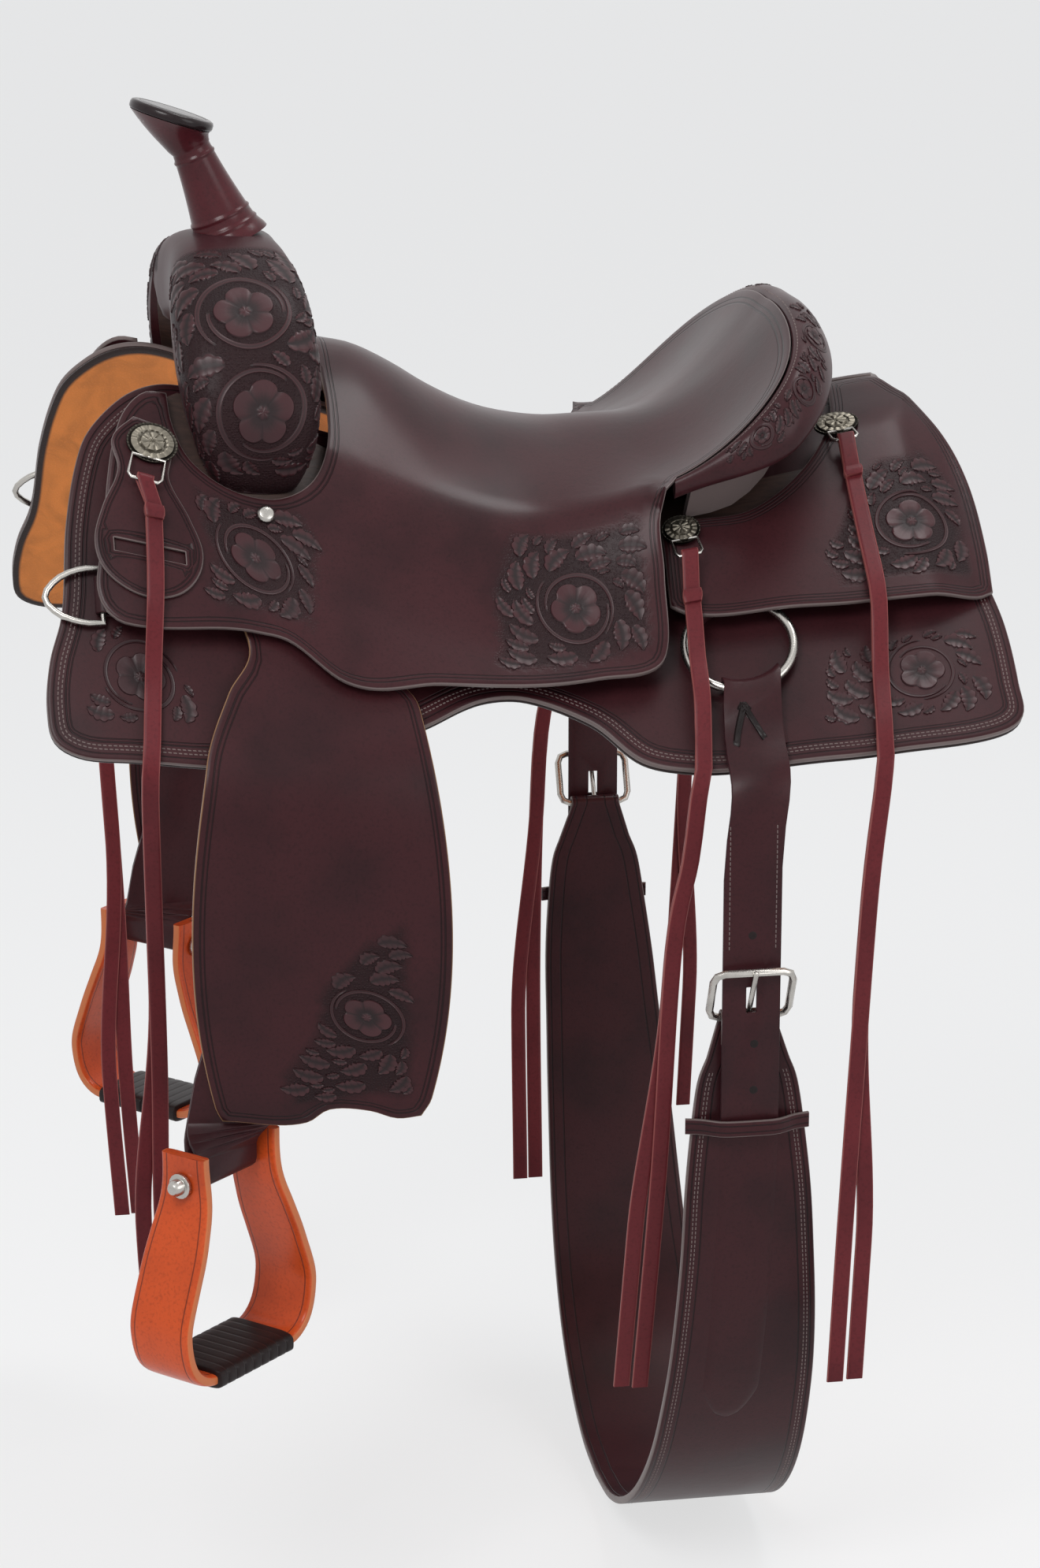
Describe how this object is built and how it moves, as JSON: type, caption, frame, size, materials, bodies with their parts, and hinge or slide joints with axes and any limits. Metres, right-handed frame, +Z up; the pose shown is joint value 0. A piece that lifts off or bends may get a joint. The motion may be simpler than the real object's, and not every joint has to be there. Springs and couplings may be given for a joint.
{
  "type": "western saddle",
  "caption": "Tooled leather ranch saddle with horn, deep seat, skirts, fenders, wide stirrups, rear rigging, flank cinch, saddle strings and conchos.",
  "frame": {"origin": "on the centre line, midway along the tree, at the height where the bars rest on the horse's back", "axes": "-X towards the horse's head (the horn's end), -Y towards the near (left) side, +Z up"},
  "size_m": [0.718, 0.713, 1.1557],
  "materials": {
    "dark_leather": "oiled, tooled by hand",
    "string_leather": "oiled latigo",
    "stirrup_leather_tan": "smooth, polished",
    "ground_leather": "raw",
    "lining": "suede",
    "tree_wood": "sealed",
    "polished_steel": "polished",
    "engraved_silver": "engraved, tarnished"
  },
  "bodies": {
    "saddle": {"breast_collar_keeper_left": "dark_leather", "breast_collar_keeper_right": "dark_leather", "cantle_back": "dark_leather", "cantle_board": "tree_wood", "cantle_roll": "dark_leather", "concho_front_left": "engraved_silver", "concho_front_right": "engraved_silver", "concho_middle_left": "engraved_silver", "concho_middle_right": "engraved_silver", "concho_rear_left": "engraved_silver", "concho_rear_right": "engraved_silver", "dee_holder_left": "dark_leather", "dee_holder_right": "dark_leather", "fork": "tree_wood", "fork_cover": "dark_leather", "ground_seat": "ground_leather", "horn_cap": "dark_leather", "horn_post": "polished_steel", "horn_wrap": "dark_leather", "lining_left": "lining", "lining_right": "lining", "pommel_screw_left": "polished_steel", "pommel_screw_right": "polished_steel", "rear_jockey_left": "dark_leather", "rear_jockey_right": "dark_leather", "rear_rigging_left": "dark_leather", "rear_rigging_right": "dark_leather", "saddle_string_front_left": "string_leather", "saddle_string_front_right": "string_leather", "saddle_string_middle_left": "string_leather", "saddle_string_middle_right": "string_leather", "saddle_string_rear_left": "string_leather", "saddle_string_rear_right": "string_leather", "seat_and_side_jockeys": "dark_leather", "skirt_left": "dark_leather", "skirt_right": "dark_leather", "tree_bar_left": "tree_wood", "tree_bar_right": "tree_wood"},
    "flank_rigging": {"flank_cinch": "dark_leather", "rigging_ring_left": "polished_steel", "flank_billet_left": "dark_leather", "flank_buckle_left": "polished_steel", "rigging_ring_right": "polished_steel", "flank_billet_right": "dark_leather", "flank_buckle_right": "polished_steel"},
    "fender_assembly_left": {"fender_left": "dark_leather", "stirrup_leather_left": "dark_leather"},
    "stirrup_assembly_left": {"stirrup_left": "stirrup_leather_tan", "tread_wrap_left": "dark_leather", "stirrup_bolt_left": "polished_steel"},
    "dee_left": {"breast_dee_left": "polished_steel"},
    "fender_assembly_right": {"fender_right": "dark_leather", "stirrup_leather_right": "dark_leather"},
    "stirrup_assembly_right": {"stirrup_right": "stirrup_leather_tan", "tread_wrap_right": "dark_leather", "stirrup_bolt_right": "polished_steel"},
    "dee_right": {"breast_dee_right": "polished_steel"}
  },
  "joints": [
    {"name": "fender_swing_left", "type": "hinge", "parent": "saddle", "child": "fender_assembly_left", "pos_m": [-0.225, -0.18268, 0.00879], "axis": [0, -0.9397, 0.342], "range_deg": [-5, 6]},
    {"name": "stirrup_swing_left", "type": "hinge", "parent": "fender_assembly_left", "child": "stirrup_assembly_left", "pos_m": [-0.26, -0.283, -0.416], "axis": [0.7071, 0.7071, 0], "range_deg": [-20, 20]},
    {"name": "dee_swing_left", "type": "hinge", "parent": "saddle", "child": "dee_left", "pos_m": [-0.33, -0.19928, -0.00329], "axis": [0, 0.5236, 0.8519], "range_deg": [0, 60]},
    {"name": "fender_swing_right", "type": "hinge", "parent": "saddle", "child": "fender_assembly_right", "pos_m": [-0.225, 0.18268, 0.00879], "axis": [0, -0.9397, -0.342], "range_deg": [-5, 6]},
    {"name": "stirrup_swing_right", "type": "hinge", "parent": "fender_assembly_right", "child": "stirrup_assembly_right", "pos_m": [-0.26, 0.283, -0.416], "axis": [-0.7071, 0.7071, 0], "range_deg": [-20, 20]},
    {"name": "dee_swing_right", "type": "hinge", "parent": "saddle", "child": "dee_right", "pos_m": [-0.33, 0.19928, -0.00329], "axis": [0, 0.5236, -0.8519], "range_deg": [0, 60]},
    {"name": "flank_swing", "type": "hinge", "parent": "saddle", "child": "flank_rigging", "pos_m": [0.141, 0, -0.03106], "axis": [0, -1, 0], "range_deg": [-3, 0.5]}
  ]
}
